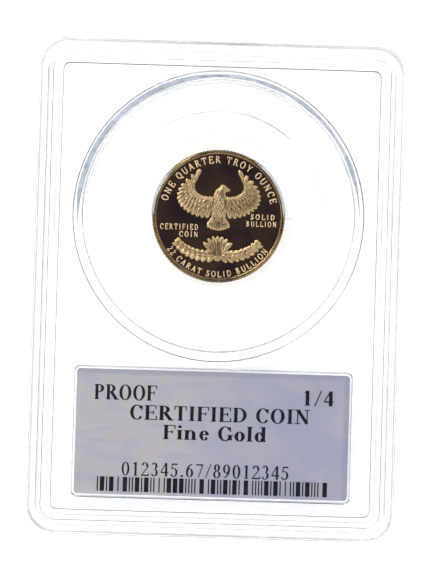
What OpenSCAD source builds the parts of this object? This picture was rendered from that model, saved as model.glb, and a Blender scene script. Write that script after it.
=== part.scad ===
// Graded coin slab: two clear shells welded round a coin, its centring ring and a printed insert.
// The slab lies on its back. X is its width, Y its height with the coin end at +Y, and Z points
// out of the front face. The origin is the middle of the plane that the foot ring stands on.

/* [Slab] */
// Width of the slab, along X
slab_w = 60.3; // [58:0.1:66]
// Height of the slab, along Y
slab_h = 81.7; // [80:0.1:90]
// Radius of the slab's outer corners
corner_r = 4.7; // [4.6:0.1:6]
// Height from the foot ring to the shoulder that the next slab stands on
stack_pitch = 6.4; // [6.4:0.1:7]
// Height of the stacking ridge above the shoulder
ridge_h = 0.6; // [0.4:0.05:0.6]
// Rounding of the outer edges of the shells
edge_r = 0.4; // [0.2:0.05:0.5]

/* [Shell walls] */
// Thickness of the flat windows
plate_t = 1.4; // [1.2:0.1:1.4]
// Thickness of the outer wall
wall_t = 2.2; // [2:0.05:2.4]
// Depth of the window below the shoulder, front and rear
window_drop = 0.4; // [0.3:0.05:0.4]
// Width of the weld tongue
tongue_w = 0.8; // [0.6:0.05:0.9]
// Height of the weld tongue
tongue_h = 0.75; // [0.5:0.05:0.9]
// Gap between the outer walls at the seam
seam_gap = 0.05; // [0.02:0.01:0.1]

/* [Round wall and ring] */
// Distance of the coin's centre above the middle of the slab
coin_y = 12.05; // [11.5:0.05:12.5]
// Outer diameter of the round wall
round_od = 48; // [46:0.1:48.4]
// Thickness of the round wall
round_wall_t = 1.6; // [1.2:0.1:1.8]
// Radius at which the centring ring steps down to its thinner middle
ring_step_r = 17.4; // [16:0.1:19]
// Outer radius of the three relief notches beside the coin
notch_r = 13.6; // [13:0.1:14.5]
// Width of each relief notch, in degrees
notch_angle = 58; // [40:1:70]
// How far the lips reach over the coin's rim
lip_reach = 0.5; // [0.3:0.05:0.6]

/* [Coin] */
// Diameter of the coin
coin_d = 22; // [21.5:0.1:22.5]
// Thickness of the coin at its rim
coin_t = 1.83; // [1.6:0.01:1.84]
// Number of reeds round the edge
reed_count = 119; // [80:1:150]
// Width of the raised rim
coin_rim_w = 0.65; // [0.5:0.05:0.9]

/* [Insert] */
// Width of the printed card
card_w = 45; // [44:0.1:46]
// Height of the printed card
card_h = 20.6; // [20:0.1:21]
// Thickness of the printed card
card_t = 0.35; // [0.3:0.01:0.36]
// Distance of the card's middle below the middle of the slab
card_drop = 23.95; // [23.8:0.05:24.5]
// Side of the square security foil on the back of the card
foil_side = 15; // [10:0.5:18]

/* [Hidden] */
$fn = 96;

slab_t = stack_pitch + ridge_h;
seam_z = slab_t / 2;
overlap = 0.1;

// Window plates and the space between them
nest_gap = 0.1;
rear_drop = 0.3;
front_window_z = stack_pitch - window_drop;
rear_recess_z = ridge_h + nest_gap;
rear_window_z = rear_recess_z + rear_drop;
front_inner_z = front_window_z - plate_t;
rear_inner_z = rear_window_z + plate_t;
mid_z = (front_inner_z + rear_inner_z) / 2;

// Insets, measured inwards from the slab's outer edge
foot_w = 1.5;
ridge_out = 1.7;
ridge_in = 3.35;
recess_in = 3.6;
window_in = 3.9;
sweep_in = 4.4;
plate_in = 4.2;
tongue_in = 1.1;
tongue_taper = 0.7;
weld_gap = 0.01;
groove_slack = 0.05;
seam_chamfer = 0.15;
inner_fillet = 0.4;
ridge_round = 0.18;
ridge_draft = 0.05;
shelf_h = 0.1;

// Round wall and centring ring
round_r = round_od / 2;
bore_r = round_r - round_wall_t;
wall_fillet = 0.3;
outer_fillet = 0.14;
wall_chamfer = 0.12;
outer_chamfer = 0.06;
ring_slack = 0.1;
ring_gap = 0.05;
step_drop = 0.15;
coin_slack = 0.02;
notch_count = 3;
lip_angle = 60;
lip_root = 0.9;

// Coin
coin_r = coin_d / 2;
reed_depth = 0.09;
reed_share = 0.62;
reed_flank = 0.12;
field_drop = 0.22;
rim_round = 0.16;
edge_step = 0.02;
field_slope = 0.12;

// Insert and the lands that clamp it
land_margin = 0.55;
land_chamfer = 0.08;
card_slack = 0.05;
land_r = 1.2;
card_r = 0.6;
foil_t = 0.08;
foil_slack = 0.02;
lip_rise = 0.03;
card_rise = 0.2;
card_front_z = mid_z + card_rise;
card_back_z = card_front_z - card_t;
pocket_floor_z = card_back_z - foil_t - foil_slack;
lip_top_z = card_front_z + lip_rise;
land_gap = 0.04;
foil_corner_r = 1.5;
foil_x = -12;

function arc_points(cx, cz, r, from, to, steps) =
    [for (i = [0:steps]) let (a = from + (to - from) * i / steps) [cx + r * cos(a), cz + r * sin(a)]];

// Sweeps an outline of [inset, z] points round a rectangle: four straight sides and four corners.
module rim_sweep(w, h, r, outline) {
    corner = [for (p = outline) [r - p[0], p[1]]];
    half_w = w / 2 - r;
    half_h = h / 2 - r;
    for (side = [0, 1]) rotate([0, 0, 180 * side]) {
        translate([half_w, half_h, 0]) rotate_extrude(angle = 90) polygon(corner);
        translate([-half_w, half_h, 0]) rotate([0, 0, 90]) rotate_extrude(angle = 90) polygon(corner);
        translate([half_w, half_h, 0]) rotate([90, 0, 0])
            linear_extrude(2 * half_h) polygon(corner);
        translate([-half_w, half_h, 0]) rotate([90, 0, 90])
            linear_extrude(2 * half_w) polygon(corner);
    }
}

// A flat block with true round corners, centred on X and Y.
module rounded_block(w, h, r, z_low, z_high) {
    translate([0, 0, z_low]) linear_extrude(z_high - z_low) {
        square([w - 2 * r, h], center = true);
        square([w, h - 2 * r], center = true);
        for (x = [-1, 1], y = [-1, 1]) translate([x * (w / 2 - r), y * (h / 2 - r)]) circle(r);
    }
}

// Block that reaches from the front window down to the card, chamfered round its lower edge.
module front_land(z_low, z_high) {
    w = card_w + 2 * land_margin;
    h = card_h + 2 * land_margin;
    core_in = land_r - overlap;
    rim_sweep(w, h, land_r, [
        [land_chamfer, z_low], [0, z_low + land_chamfer], [0, z_high], [core_in, z_high], [core_in, z_low]]);
    translate([0, 0, (z_low + z_high) / 2])
        cube([w - 2 * core_in + overlap, h - 2 * core_in + overlap, z_high - z_low], center = true);
}

module window_plate(z_low) {
    w = slab_w - 2 * plate_in;
    h = slab_h - 2 * plate_in;
    translate([-w / 2, -h / 2, z_low]) cube([w, h, plate_t]);
}

// Half of the round wall. It stands on a plate at root_z and ends at tip_z, above or below it.
module round_wall(root_z, tip_z) {
    up = tip_z > root_z ? 1 : -1;
    translate([0, coin_y, 0]) rotate_extrude() polygon(concat(
        [[bore_r - wall_fillet, root_z - up * overlap]],
        [for (a = [0:22.5:90]) [bore_r - wall_fillet + wall_fillet * sin(a),
                                root_z + up * wall_fillet * (1 - cos(a))]],
        [[bore_r, tip_z - up * wall_chamfer], [bore_r + wall_chamfer, tip_z],
         [round_r - outer_chamfer, tip_z], [round_r, tip_z - up * outer_chamfer]],
        [for (a = [90:-22.5:0]) [round_r + outer_fillet - outer_fillet * sin(a),
                                 root_z + up * outer_fillet * (1 - cos(a))]],
        [[round_r + outer_fillet, root_z - up * overlap]]));
}

front_rim = concat(
    [[seam_chamfer, seam_z], [0, seam_z + seam_chamfer]],
    arc_points(edge_r, stack_pitch - edge_r, edge_r, 180, 90, 6),
    [[ridge_out - ridge_draft, stack_pitch], [ridge_out, stack_pitch + ridge_draft]],
    arc_points(ridge_out + ridge_draft + ridge_round, slab_t - ridge_round, ridge_round, 180, 90, 4),
    arc_points(ridge_in - ridge_round, slab_t - ridge_round, ridge_round, 90, 0, 4),
    arc_points(ridge_in + ridge_round, front_window_z + shelf_h + ridge_round, ridge_round, 180, 270, 4),
    [[window_in - shelf_h / 2, front_window_z + shelf_h], [window_in, front_window_z],
     [sweep_in, front_window_z], [sweep_in, front_inner_z]],
    arc_points(wall_t + inner_fillet, front_inner_z - inner_fillet, inner_fillet, 90, 180, 4),
    [[wall_t, seam_z],
     [tongue_in + tongue_w / 2 + groove_slack, seam_z],
     [tongue_in + tongue_w / 2 + groove_slack, seam_z - seam_gap + tongue_h],
     [tongue_in - tongue_w / 2 - groove_slack, seam_z - seam_gap + tongue_h],
     [tongue_in - tongue_w / 2 - groove_slack, seam_z]]);

rear_rim = concat(
    [[seam_chamfer, seam_z - seam_gap], [0, seam_z - seam_gap - seam_chamfer]],
    arc_points(edge_r, edge_r, edge_r, 180, 270, 6),
    arc_points(foot_w - ridge_round, ridge_round, ridge_round, 270, 360, 4),
    [[foot_w + ridge_draft, rear_recess_z - shelf_h], [foot_w + shelf_h, rear_recess_z],
     [recess_in, rear_recess_z], [window_in, rear_window_z],
     [sweep_in, rear_window_z], [sweep_in, rear_inner_z]],
    arc_points(wall_t + inner_fillet, rear_inner_z + inner_fillet, inner_fillet, 270, 180, 4),
    [[wall_t, seam_z - seam_gap],
     [tongue_in + tongue_w / 2, seam_z - seam_gap],
     [tongue_in + tongue_w / 2, seam_z - seam_gap + tongue_h * tongue_taper],
     [tongue_in + tongue_w / 4, seam_z - seam_gap + tongue_h - weld_gap],
     [tongue_in - tongue_w / 4, seam_z - seam_gap + tongue_h - weld_gap],
     [tongue_in - tongue_w / 2, seam_z - seam_gap + tongue_h * tongue_taper],
     [tongue_in - tongue_w / 2, seam_z - seam_gap]]);

// Front half: stacking ridge, window, half of the round wall and the land that presses on the card.
module front_shell() {
    color("azure", 0.35) union() {
        rim_sweep(slab_w, slab_h, corner_r, front_rim);
        window_plate(front_inner_z);
        round_wall(front_inner_z, seam_z);
        translate([0, -card_drop, 0]) front_land(lip_top_z + land_gap, front_inner_z + overlap);
    }
}

// Rear half: foot ring, window, half of the round wall and the pocket that the card lies in.
module rear_shell() {
    color("azure", 0.35) union() {
        rim_sweep(slab_w, slab_h, corner_r, rear_rim);
        window_plate(rear_window_z);
        round_wall(rear_inner_z, seam_z - seam_gap);
        translate([0, -card_drop, 0]) difference() {
            rounded_block(card_w + 2 * land_margin, card_h + 2 * land_margin, land_r,
                          rear_inner_z - overlap, lip_top_z);
            rounded_block(card_w + 2 * card_slack, card_h + 2 * card_slack, card_r + card_slack,
                          pocket_floor_z, lip_top_z + overlap);
        }
    }
}

// A wedge of the ring's full height, used to cut the notches and to keep the lips.
module ring_sector(r_low, r_high, middle, width, z_low, z_high) {
    translate([0, coin_y, z_low]) rotate([0, 0, middle - width / 2])
        rotate_extrude(angle = width) translate([r_low, 0]) square([r_high - r_low, z_high - z_low]);
}

// Soft ring that centres the coin: three pads grip it, with a relief notch between each pair.
module coin_ring() {
    low = rear_inner_z + ring_gap;
    high = front_inner_z - ring_gap;
    seat_r = coin_r + coin_slack;
    color("ghostwhite", 0.4) difference() {
        union() {
            translate([0, coin_y, 0]) rotate_extrude() polygon([
                [seat_r, low + step_drop], [ring_step_r, low + step_drop],
                [ring_step_r + step_drop, low], [bore_r - wall_fillet - ring_slack, low],
                [bore_r - ring_slack, low + wall_fillet], [bore_r - ring_slack, high - wall_fillet],
                [bore_r - wall_fillet - ring_slack, high], [ring_step_r + step_drop, high],
                [ring_step_r, high - step_drop], [seat_r, high - step_drop]]);
            for (i = [0:notch_count - 1]) {
                lip_middle = 30 + i * 360 / notch_count;
                ring_sector(coin_r - lip_reach, seat_r + lip_root, lip_middle, lip_angle, low, high);
            }
        }
        translate([0, coin_y, mid_z - coin_t / 2 - coin_slack])
            cylinder(h = coin_t + 2 * coin_slack, r = seat_r);
        for (i = [0:notch_count - 1])
            ring_sector(seat_r - overlap, notch_r, 90 + i * 360 / notch_count, notch_angle,
                        low - overlap, high + overlap);
    }
}

// Coin blank: reeded edge, raised rim and sunk fields.
module coin() {
    tooth = 360 / reed_count;
    root_r = coin_r - reed_depth;
    reed_turn = [0, reed_flank, reed_share - reed_flank, reed_share] * tooth;
    reed_reach = [root_r, coin_r, coin_r, root_r];
    reeds = [for (i = [0:reed_count - 1], k = [0:3])
        let (a = i * tooth + reed_turn[k], r = reed_reach[k]) [r * cos(a), r * sin(a)]];
    half = coin_t / 2;
    color("goldenrod") translate([0, coin_y, mid_z]) difference() {
        union() {
            translate([0, 0, -half + rim_round])
                linear_extrude(coin_t - 2 * rim_round) polygon(reeds);
            rotate_extrude() polygon([
                [0, -half], [coin_r - rim_round - reed_depth, -half],
                [root_r - edge_step, -half + rim_round], [root_r - edge_step, half - rim_round],
                [coin_r - rim_round - reed_depth, half], [0, half]]);
        }
        for (face = [0, 1]) mirror([0, 0, face]) rotate_extrude() polygon([
            [0, half - field_drop], [coin_r - coin_rim_w - field_slope, half - field_drop],
            [coin_r - coin_rim_w, half], [coin_r - coin_rim_w, half + overlap], [0, half + overlap]]);
    }
}

// Printed card in the pocket under the coin.
module label_card() {
    color("lightsteelblue") translate([0, -card_drop, 0])
        rounded_block(card_w, card_h, card_r, card_back_z, card_front_z);
}

// Plain security foil on the back of the card.
module hologram_foil() {
    color("silver") translate([foil_x, -card_drop, 0])
        rounded_block(foil_side, foil_side, foil_corner_r, card_back_z - foil_t, card_back_z);
}

front_shell();
rear_shell();
coin_ring();
coin();
label_card();
hologram_foil();
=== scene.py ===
"""Looks of the graded coin slab: clear shells, soft ring, struck gold coin, printed insert and foil.

Sizes are in millimetres and angles in degrees, unless a comment says otherwise. Meshes are scaled to metres
where they are made."""
import math
from collections import namedtuple

import bpy
import numpy as np
from mathutils import Euler, Matrix, Vector


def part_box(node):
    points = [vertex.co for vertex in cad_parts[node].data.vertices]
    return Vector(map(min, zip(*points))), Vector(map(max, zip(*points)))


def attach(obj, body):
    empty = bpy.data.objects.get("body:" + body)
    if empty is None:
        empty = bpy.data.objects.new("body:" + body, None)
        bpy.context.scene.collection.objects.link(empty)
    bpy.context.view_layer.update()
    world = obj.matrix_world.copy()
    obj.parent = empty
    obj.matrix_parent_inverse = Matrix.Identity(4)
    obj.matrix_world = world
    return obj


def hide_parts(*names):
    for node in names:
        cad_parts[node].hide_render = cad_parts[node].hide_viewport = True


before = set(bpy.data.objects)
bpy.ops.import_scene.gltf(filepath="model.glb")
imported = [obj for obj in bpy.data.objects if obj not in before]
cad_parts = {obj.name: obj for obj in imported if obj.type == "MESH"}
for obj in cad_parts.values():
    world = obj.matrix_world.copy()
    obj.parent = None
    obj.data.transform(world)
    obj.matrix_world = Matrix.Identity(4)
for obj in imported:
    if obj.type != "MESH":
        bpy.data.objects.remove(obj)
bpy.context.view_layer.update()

MM = 0.001
scene = bpy.context.scene


def middle(node):
    """The middle of a CAD node, in millimetres."""
    low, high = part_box(node)
    return (low + high) / 2 / MM


def span(node, axis):
    """How far a CAD node reaches along an axis, in millimetres."""
    low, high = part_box(node)
    return (high[axis] - low[axis]) / MM


coin_at = middle("coin")
card_at = middle("label_card")
COIN_R = span("coin", 0) / 2
COIN_HALF = span("coin", 2) / 2
CARD_SIZE = (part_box("label_card")[1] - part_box("label_card")[0]) / MM
CARD_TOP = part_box("label_card")[1].z / MM


# ---- meshes ----

def new_object(name, data):
    thing = bpy.data.objects.new(name, data)
    scene.collection.objects.link(thing)
    return thing


def new_piece(name, points, faces, material, smooth=True):
    """A mesh object from points in millimetres."""
    mesh = bpy.data.meshes.new(name)
    mesh.from_pydata((np.asarray(points, float) * MM).tolist(), [], faces)
    mesh.validate()
    mesh.materials.append(material)
    mesh.polygons.foreach_set("use_smooth", [smooth] * len(mesh.polygons))
    return new_object(name, mesh)


def smoothstep(x):
    x = np.clip(x, 0, 1)
    return x * x * (3 - 2 * x)


def degrees_apart(angle, other):
    return np.abs((angle - other + 180) % 360 - 180)


def at_height(flat, z):
    """Points of an outline, raised to a height."""
    return np.column_stack([flat, np.full(len(flat), z)])


def outline_solid(field, xs, ys, low, high):
    """Points and faces of a closed solid where field is negative, its sides cut at field = 0."""
    points, faces, index = [], [], {}

    def number(key, x, y):
        """The number of the point known by this key, made when it is first asked for."""
        if key not in index:
            index[key] = len(points)
            points.append((x, y))
        return index[key]

    def crossing(a, b):
        (i, j), (k, m) = sorted((a, b))
        f, g = field[i, j], field[k, m]
        t = min(max(f / (f - g), 0.02), 0.98)
        return number((i, j, k, m), xs[i] + t * (xs[k] - xs[i]), ys[j] + t * (ys[m] - ys[j]))

    inside = field < 0
    near = inside[:-1, :-1] | inside[1:, :-1] | inside[:-1, 1:] | inside[1:, 1:]
    walls = []
    for i, j in zip(*np.nonzero(near)):
        around = ((i, j), (i + 1, j), (i + 1, j + 1), (i, j + 1))
        loop = []
        for a, b in zip(around, around[1:] + around[:1]):
            if inside[a]:
                loop.append((number(a, xs[a[0]], ys[a[1]]), False))
            if inside[a] != inside[b]:
                loop.append((crossing(a, b), True))
        faces.append([p for p, _ in loop])
        ahead = loop[1:] + loop[:1]
        walls += [(p, q) for (p, cut), (q, next_cut) in zip(loop, ahead) if cut and next_cut]
    count = len(points)
    both = np.concatenate([at_height(points, z) for z in (high, low)])
    solid = faces + [[p + count for p in face[::-1]] for face in faces]
    solid += [[b, a, a + count, b + count] for a, b in walls]
    return both, solid


def rounded_outline(width, height, radius, steps=8):
    points = []
    for k, (sx, sy) in enumerate(((1, 1), (-1, 1), (-1, -1), (1, -1))):
        for i in range(steps + 1):
            a = math.radians(90 * (k + i / steps))
            points.append((sx * (width / 2 - radius) + radius * math.cos(a),
                           sy * (height / 2 - radius) + radius * math.sin(a)))
    return np.array(points)


def loft(outlines, ring=False):
    """Points and faces of a closed solid through outlines that are given with their heights.
    A ring joins the last to the first, and any other solid has a bottom and a top."""
    points = [at_height(*outline) for outline in outlines]
    count = len(points[0])
    last = len(points) - 1
    faces = [] if ring else [list(range(count))[::-1], list(range(last * count, len(points) * count))]
    for k in range(last + ring):
        here, there = k * count, (k + 1) % len(points) * count
        steps = [(i, (i + 1) % count) for i in range(count)]
        faces += [[here + i, here + j, there + j, there + i] for i, j in steps]
    return np.concatenate(points), faces


def closed_film(name, inner, outer, levels, material):
    """A thin closed ring between two outlines that have the same number of points."""
    low, high = levels
    points, faces = loft(((inner, low), (outer, low), (outer, high), (inner, high)), ring=True)
    return new_piece(name, points, faces, material, smooth=False)


# ---- lettering ----
# A glyph is a width and a list of parts, with the capital height as 1. Every part gives a signed
# distance, so the same letters are printed on the insert and raised on the coin.

# A distance that stands for outside, as no part lies so far from any point
FAR = 9.0


def foot(x, y, up=1):
    return [("foot", x, y, up)]


def stem(x, low=0.0, high=1.0, feet="bt", weight="thick"):
    parts = [("box", x, (low + high) / 2, weight, high - low)]
    if "b" in feet:
        parts += foot(x, low)
    if "t" in feet:
        parts += foot(x, high, -1)
    return parts


def thin(x, low=0.0, high=1.0, feet="bt"):
    return stem(x, low, high, feet, "hair")


def tick(x, low, high):
    return thin(x, low, high, "")


def bar(left, right, y):
    return [("bar", left, right, y)]


def bowl(x, y, rx, ry, start=0, end=360):
    return [("bowl", x, y, rx, ry, start, end)]


def line(x0, y0, x1, y1, weight="thick"):
    return [("line", x0, y0, x1, y1, weight)]


def ball(x, y, r=0.085):
    return [("ball", x, y, r)]


GLYPHS = {
    " ": (0.30, []),
    "A": (0.78, line(0.39, 1.0, 0.10, 0, "hair") + line(0.37, 1.0, 0.65, 0) + bar(0.2, 0.55, 0.32)
          + foot(0.10, 0) + foot(0.65, 0)),
    "B": (0.70, stem(0.17) + bowl(0.28, 0.755, 0.28, 0.245, -90, 90) + bar(0.17, 0.3, 0.97)
          + bowl(0.28, 0.27, 0.36, 0.27, -90, 90) + bar(0.17, 0.3, 0.53) + bar(0.17, 0.3, 0.03)),
    "C": (0.74, bowl(0.41, 0.5, 0.37, 0.52, 42, 318) + tick(0.67, 0.64, 0.98)),
    "D": (0.80, stem(0.17) + bowl(0.30, 0.5, 0.44, 0.5, -90, 90) + bar(0.17, 0.31, 0.97)
          + bar(0.17, 0.31, 0.03)),
    "E": (0.70, stem(0.17) + bar(0.17, 0.63, 0.97) + bar(0.17, 0.48, 0.52) + bar(0.17, 0.65, 0.03)
          + tick(0.62, 0.76, 1) + tick(0.48, 0.40, 0.64) + tick(0.65, 0, 0.27)),
    "F": (0.66, stem(0.17) + bar(0.17, 0.62, 0.97) + bar(0.17, 0.48, 0.52)
          + tick(0.62, 0.74, 1) + tick(0.48, 0.40, 0.64)),
    "G": (0.80, bowl(0.41, 0.5, 0.37, 0.52, 42, 312) + tick(0.67, 0.64, 0.98)
          + stem(0.66, 0.06, 0.42, "t")),
    "I": (0.40, stem(0.20)),
    "L": (0.66, stem(0.17) + bar(0.17, 0.62, 0.03) + tick(0.62, 0, 0.28)),
    "N": (0.82, thin(0.16) + line(0.16, 0.98, 0.66, 0.04) + thin(0.66, 0, 1, "t") + foot(0.10, 1, -1)),
    "O": (0.80, bowl(0.40, 0.5, 0.37, 0.52)),
    "P": (0.66, stem(0.17) + bowl(0.28, 0.73, 0.33, 0.27, -90, 90) + bar(0.17, 0.3, 0.97)
          + bar(0.17, 0.3, 0.49)),
    "Q": (0.80, bowl(0.40, 0.5, 0.37, 0.52) + line(0.42, 0.1, 0.72, -0.16)),
    "R": (0.76, stem(0.17) + bowl(0.28, 0.74, 0.32, 0.26, -90, 90) + bar(0.17, 0.3, 0.97)
          + bar(0.17, 0.3, 0.51) + line(0.36, 0.5, 0.66, 0.03) + foot(0.68, 0)),
    "S": (0.60, bowl(0.31, 0.745, 0.24, 0.265, 40, 250) + bowl(0.29, 0.265, 0.26, 0.275, -150, 75)
          + line(0.18, 0.64, 0.43, 0.38) + tick(0.50, 0.72, 0.98) + tick(0.06, 0.03, 0.30)),
    "T": (0.72, stem(0.36, 0, 1, "b") + bar(0.06, 0.66, 0.97) + tick(0.06, 0.72, 1)
          + tick(0.66, 0.72, 1)),
    "U": (0.80, stem(0.18, 0.32, 1, "t") + bowl(0.41, 0.34, 0.31, 0.36, 180, 360)
          + thin(0.67, 0.32, 1, "t")),
    "Y": (0.76, line(0.12, 0.98, 0.38, 0.46) + line(0.66, 0.98, 0.38, 0.46, "hair")
          + stem(0.38, 0, 0.5, "b") + foot(0.12, 1, -1) + foot(0.66, 1, -1)),
    "d": (0.66, bowl(0.30, 0.33, 0.25, 0.35, 35, 325) + stem(0.50, 0, 1.04, "b") + foot(0.46, 1.04, -1)),
    "e": (0.57, bowl(0.30, 0.33, 0.25, 0.35, 12, 325) + bar(0.1, 0.53, 0.39)),
    "i": (0.32, stem(0.16, 0, 0.67) + ball(0.16, 0.90, 0.1)),
    "l": (0.32, stem(0.16, 0, 1.04)),
    "n": (0.70, stem(0.16, 0, 0.67) + bowl(0.34, 0.42, 0.26, 0.26, 0, 150) + stem(0.51, 0, 0.44, "b")),
    "o": (0.60, bowl(0.30, 0.33, 0.265, 0.35)),
    "0": (0.56, bowl(0.28, 0.5, 0.24, 0.51)),
    "1": (0.56, stem(0.30, 0, 1, "b") + line(0.30, 0.98, 0.15, 0.86, "hair")),
    "2": (0.56, bowl(0.27, 0.73, 0.21, 0.28, -25, 165) + line(0.42, 0.62, 0.08, 0.08, "hair")
          + bar(0.05, 0.48, 0.07) + bar(0.05, 0.50, 0.03) + tick(0.50, 0.03, 0.2)),
    "3": (0.56, bowl(0.25, 0.76, 0.19, 0.25, -80, 150) + bowl(0.24, 0.27, 0.23, 0.28, -150, 85)),
    "4": (0.56, line(0.36, 0.98, 0.06, 0.32, "hair") + bar(0.05, 0.52, 0.31) + bar(0.05, 0.52, 0.27)
          + stem(0.38, 0, 1, "")),
    "5": (0.56, bar(0.15, 0.48, 0.95) + bar(0.15, 0.47, 0.90) + line(0.16, 0.95, 0.12, 0.56, "hair")
          + bowl(0.24, 0.32, 0.24, 0.33, -150, 118)),
    "6": (0.56, bowl(0.28, 0.32, 0.22, 0.33) + bowl(0.50, 0.34, 0.44, 0.66, 100, 180)),
    "7": (0.56, bar(0.08, 0.50, 0.95) + bar(0.08, 0.50, 0.90) + line(0.48, 0.93, 0.24, 0.0, "hair")),
    "8": (0.56, bowl(0.28, 0.755, 0.19, 0.255) + bowl(0.28, 0.265, 0.23, 0.285)),
    "9": (0.56, bowl(0.27, 0.68, 0.22, 0.33) + bowl(0.05, 0.66, 0.44, 0.66, -80, 0)),
    ".": (0.30, ball(0.15, 0.075, 0.09)),
    "/": (0.44, line(0.06, -0.04, 0.40, 1.04, "hair")),
}


# The weights that a text is drawn with and the gap between its letters, as shares of the capital height
Pen = namedtuple("Pen", "thick hair serif gap")


def box_distance(u, v, x, y, width, height):
    return np.maximum(np.abs(u - x) - width / 2, np.abs(v - y) - height / 2)


def ellipse_distance(u, v, rx, ry):
    k = np.hypot(u / rx, v / ry) + 1e-9
    return k * (k - 1) / (np.hypot(u / rx ** 2, v / ry ** 2) + 1e-9)


def line_distance(u, v, x0, y0, x1, y1):
    """How far each point is from the segment's line, and where along the segment it falls."""
    dx, dy = x1 - x0, y1 - y0
    length = math.hypot(dx, dy)
    along = ((u - x0) * dx + (v - y0) * dy) / length ** 2
    return np.abs((u - x0) * dy - (v - y0) * dx) / length, along, length


def part_distance(u, v, part, pen):
    kind = part[0]
    if kind == "box":
        return box_distance(u, v, part[1], part[2], getattr(pen, part[3]), part[4])
    if kind == "bar":
        return box_distance(u, v, (part[1] + part[2]) / 2, part[3], part[2] - part[1], pen.hair)
    if kind == "foot":
        return box_distance(u, v, part[1], part[2] + part[3] * pen.hair / 2, 2 * pen.serif, pen.hair)
    if kind == "ball":
        return np.hypot(u - part[1], v - part[2]) - part[3] * (0.55 + 2.6 * pen.thick)
    if kind == "line":
        away, along, length = line_distance(u, v, *part[1:5])
        return np.maximum(away - getattr(pen, part[5]) / 2, (np.abs(along - 0.5) - 0.5) * length)
    x, y, rx, ry, start, end = part[1:]
    outer = ellipse_distance(u - x, v - y, rx, ry)
    inner = ellipse_distance(u - x, v - y, rx - pen.thick, ry - pen.hair)
    band = np.maximum(outer, -inner)
    if end - start >= 360:
        return band
    angle = np.degrees(np.arctan2((v - y) / ry, (u - x) / rx))
    off = degrees_apart(angle, (start + end) / 2) - (end - start) / 2
    return np.maximum(band, np.radians(off) * np.hypot(u - x, v - y))


def glyph_distance(u, v, glyph, pen):
    """Signed distance to a glyph, in capital heights, with u from its left side."""
    field = np.full(np.shape(u), FAR)
    for part in GLYPHS[glyph][1]:
        field = np.minimum(field, part_distance(u, v, part, pen))
    return field


def natural_width(text, pen):
    return sum(GLYPHS[c][0] for c in text) + pen.gap * (len(text) - 1)


def line_of_text(u, v, text, pen, left, right, base, height):
    """Signed distance, in millimetres, to a straight line of text that spans left to right."""
    stretch = (right - left) / (natural_width(text, pen) * height)
    margin = 0.3 * height
    field = np.full(np.shape(u), FAR)
    at = left
    for c in text:
        wide = GLYPHS[c][0] * height * stretch
        inside = (u > at - margin) & (u < at + wide + margin)
        inside &= np.abs(v - base - height / 2) < height
        if c != " " and inside.any():
            local_u = (u[inside] - at) / (height * stretch)
            local_v = (v[inside] - base) / height
            found = glyph_distance(local_u, local_v, c, pen)
            field[inside] = np.minimum(field[inside], found * height)
        at += wide + pen.gap * height * stretch
    return field


def arc_of_text(u, v, text, pen, radius, start, end, height, inward=False):
    """The same on an arc of the coin. The letters' tops point outward, or inward for the lower legend."""
    turn = (end - start) / natural_width(text, pen)
    field = np.full(np.shape(u), FAR)
    at = start
    for c in text:
        wide = GLYPHS[c][0]
        theta = math.radians(at + turn * wide / 2)
        radial = u * math.cos(theta) + v * math.sin(theta)
        tangent = u * math.sin(theta) - v * math.cos(theta)
        local_u = -tangent if inward else tangent
        local_v = radius - radial if inward else radial - radius
        inside = (np.abs(local_u) < height) & (np.abs(local_v - height / 2) < height) & (radial > 0)
        if c != " " and inside.any():
            found = glyph_distance(local_u[inside] / height + wide / 2, local_v[inside] / height, c, pen)
            field[inside] = np.minimum(field[inside], found * height)
        at += turn * (wide + pen.gap)
    return field


# ---- coin relief ----

# Straight stretches that stand for a blade's curve, and how soft the border of its frost is
BLADE_STEPS = 8
FROST_EDGE = (1.06, 0.12)


def bent_at(t, p, q, r):
    """One coordinate of a quadratic curve at its share t."""
    return (1 - t) ** 2 * p + 2 * t * (1 - t) * q + t * t * r


def frosted(share):
    """1 within a shape, where share is under 1, and 0 outside it."""
    return smoothstep((FROST_EDGE[0] - share) / FROST_EDGE[1])


def rounded(share):
    return np.sqrt(np.clip(1 - share ** 2, 0, 1))


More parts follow.
